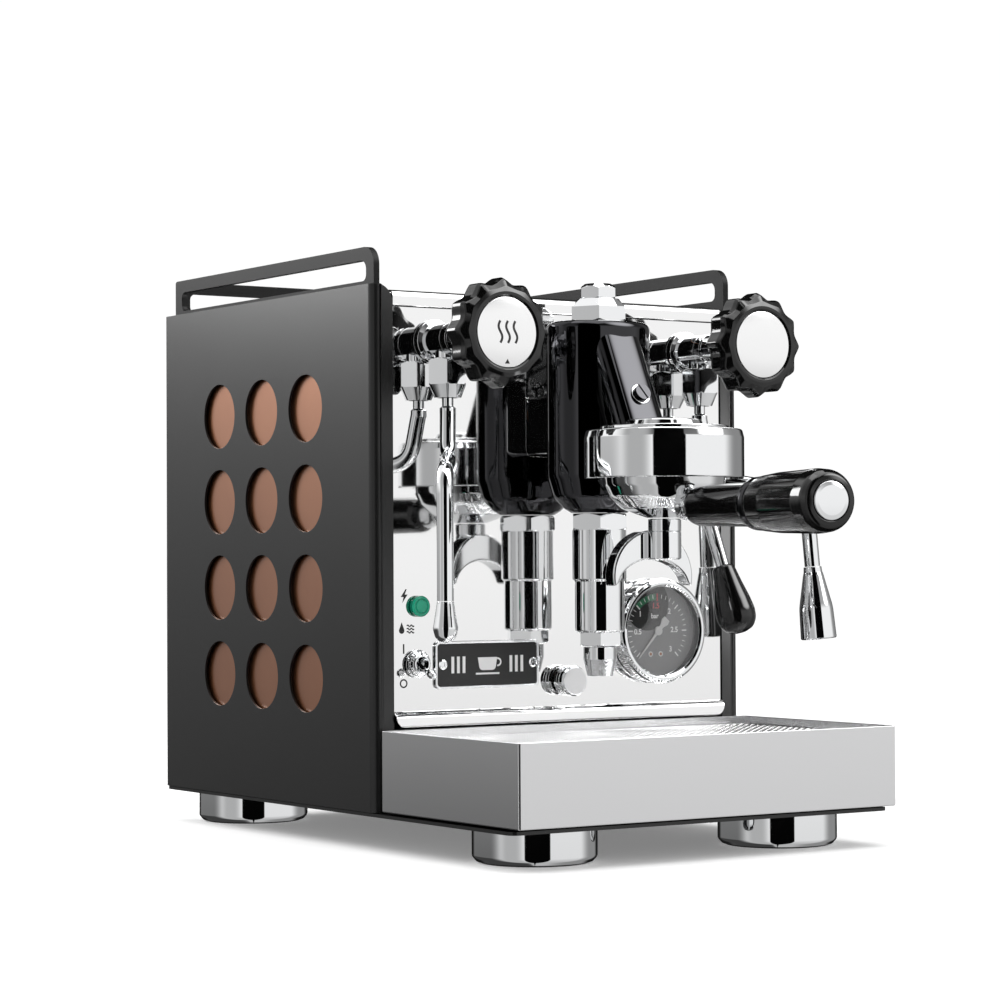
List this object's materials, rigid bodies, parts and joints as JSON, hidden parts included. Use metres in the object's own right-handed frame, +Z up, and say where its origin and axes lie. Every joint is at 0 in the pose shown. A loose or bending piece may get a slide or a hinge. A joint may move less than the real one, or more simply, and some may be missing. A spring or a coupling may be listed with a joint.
{
  "type": "espresso machine",
  "caption": "Countertop espresso machine with a mirror-steel front, chromed brew group with long-handled portafilter, steam and water wands, lobed valve knobs, drip tray and cup rail.",
  "frame": {"origin": "centre of the whole object's plan box, on the worktop under the feet", "axes": "+Z up, -Y the front where the handle points, +X to the right as seen from the front"},
  "size_m": [0.3081, 0.5713, 0.36],
  "materials": {
    "black_steel": "satin black powder coat",
    "mirror_steel": "mirror-polished stainless steel",
    "brushed_steel": "satin stainless steel",
    "chrome": "polished chrome",
    "copper": "matt copper sheet",
    "black_plastic": "black phenolic, polished",
    "green_lens": "translucent green",
    "grey_dial": "matt print",
    "clear_glass": "clear",
    "tank_plastic": "translucent"
  },
  "bodies": {
    "housing": {"base_plate": "black_steel", "side_panel_left": "black_steel", "side_panel_right": "black_steel", "copper_insert_left": "copper", "copper_insert_right": "copper", "foot_front_left": "chrome", "foot_front_right": "chrome", "foot_rear_left": "chrome", "foot_rear_right": "chrome", "front_panel": "mirror_steel", "rear_panel": "black_steel", "power_inlet": "black_plastic", "top_frame": "mirror_steel", "cup_rail": "black_steel", "group_body": "chrome", "group_cap_nut": "chrome", "lower_chamber": "chrome", "discharge_nozzle": "brushed_steel", "shower_screen": "brushed_steel", "steam_valve_body": "chrome", "water_valve_body": "chrome", "steam_wand_nut": "chrome", "water_wand_nut": "chrome", "gauge_case": "chrome", "gauge_dial": "grey_dial", "gauge_glass": "clear_glass", "pilot_light": "green_lens", "switch_bushing": "chrome", "name_plate": "brushed_steel", "boiler": "copper", "thermosyphon_upper": "copper", "thermosyphon_lower": "copper", "water_tank": "tank_plastic", "pump": "black_plastic", "control_box": "black_plastic"},
    "steam_tap": {"steam_knob": "black_plastic", "steam_knob_disc": "chrome"},
    "water_tap": {"water_knob": "black_plastic", "water_knob_disc": "chrome"},
    "steam_ball": {"steam_wand_ball": "chrome"},
    "steam_wand": {"steam_wand": "chrome", "steam_tip": "chrome"},
    "water_ball": {"water_wand_ball": "chrome"},
    "water_wand": {"water_wand": "chrome", "water_nozzle": "chrome"},
    "brew_lever": {"lever_arm": "chrome", "lever_knob": "black_plastic"},
    "portafilter": {"portafilter_bowl": "chrome", "filter_basket": "brushed_steel", "double_spout": "chrome", "handle_front_grip": "black_plastic", "handle_collar": "chrome", "handle_rear_grip": "black_plastic", "handle_end_button": "chrome"},
    "tray": {"drip_tray": "brushed_steel"},
    "grate": {"drip_grate": "brushed_steel"},
    "cup_tray": {"cup_tray": "mirror_steel"},
    "needle": {"gauge_needle": "black_plastic"},
    "switch": {"switch_lever": "chrome"},
    "drain": {"drain_knob": "chrome"}
  },
  "joints": [
    {"name": "steam_tap_turn", "type": "hinge", "parent": "housing", "child": "steam_tap", "pos_m": [-0.10896, -0.04274, 0.3039], "axis": [0, -1, 0], "range_deg": [0, 450]},
    {"name": "water_tap_turn", "type": "hinge", "parent": "housing", "child": "water_tap", "pos_m": [0.07964, -0.04274, 0.3039], "axis": [0, -1, 0], "range_deg": [0, 450]},
    {"name": "steam_wand_swivel", "type": "hinge", "parent": "housing", "child": "steam_ball", "pos_m": [-0.10896, -0.00374, 0.28], "axis": [0, 0, 1], "range_deg": [-50, 45]},
    {"name": "steam_wand_tilt", "type": "hinge", "parent": "steam_ball", "child": "steam_wand", "pos_m": [-0.10896, -0.00374, 0.28], "axis": [-0.829, 0.5592, 0], "range_deg": [-8, 8]},
    {"name": "water_wand_swivel", "type": "hinge", "parent": "housing", "child": "water_ball", "pos_m": [0.07964, -0.00374, 0.28], "axis": [0, 0, 1], "range_deg": [-42, 28]},
    {"name": "water_wand_tilt", "type": "hinge", "parent": "water_ball", "child": "water_wand", "pos_m": [0.07964, -0.00374, 0.28], "axis": [-0.5344, -0.8453, 0], "range_deg": [-8, 8]},
    {"name": "brew_lever_lift", "type": "hinge", "parent": "housing", "child": "brew_lever", "pos_m": [-0.01466, -0.02624, 0.226], "axis": [-1, 0, 0], "range_deg": [0, 50]},
    {"name": "portafilter_lock", "type": "hinge", "parent": "housing", "child": "portafilter", "pos_m": [-0.01466, -0.09224, 0.2195], "axis": [0, 0, -1], "range_deg": [0, 45]},
    {"name": "drip_tray_pull", "type": "slide", "parent": "housing", "child": "tray", "axis": [0, -1, 0], "range_m": [0, 0.14]},
    {"name": "drip_grate_lift", "type": "slide", "parent": "tray", "child": "grate", "axis": [0, 0, 1], "range_m": [0, 0.018]},
    {"name": "cup_tray_lift", "type": "slide", "parent": "housing", "child": "cup_tray", "axis": [0, 0, 1], "range_m": [0, 0.08]},
    {"name": "gauge_needle_turn", "type": "hinge", "parent": "housing", "child": "needle", "pos_m": [0.05384, 0.00636, 0.1275], "axis": [0, 1, 0], "range_deg": [0, 270], "stiffness_Nm_per_rad": 0.0002},
    {"name": "switch_toggle", "type": "hinge", "parent": "housing", "child": "switch", "pos_m": [-0.12146, 0.01276, 0.1106], "axis": [-1, 0, 0], "range_deg": [0, 38]},
    {"name": "drain_knob_turn", "type": "hinge", "parent": "housing", "child": "drain", "pos_m": [-0.01466, 0.00576, 0.098], "axis": [0, -1, 0], "range_deg": [0, 360]}
  ]
}
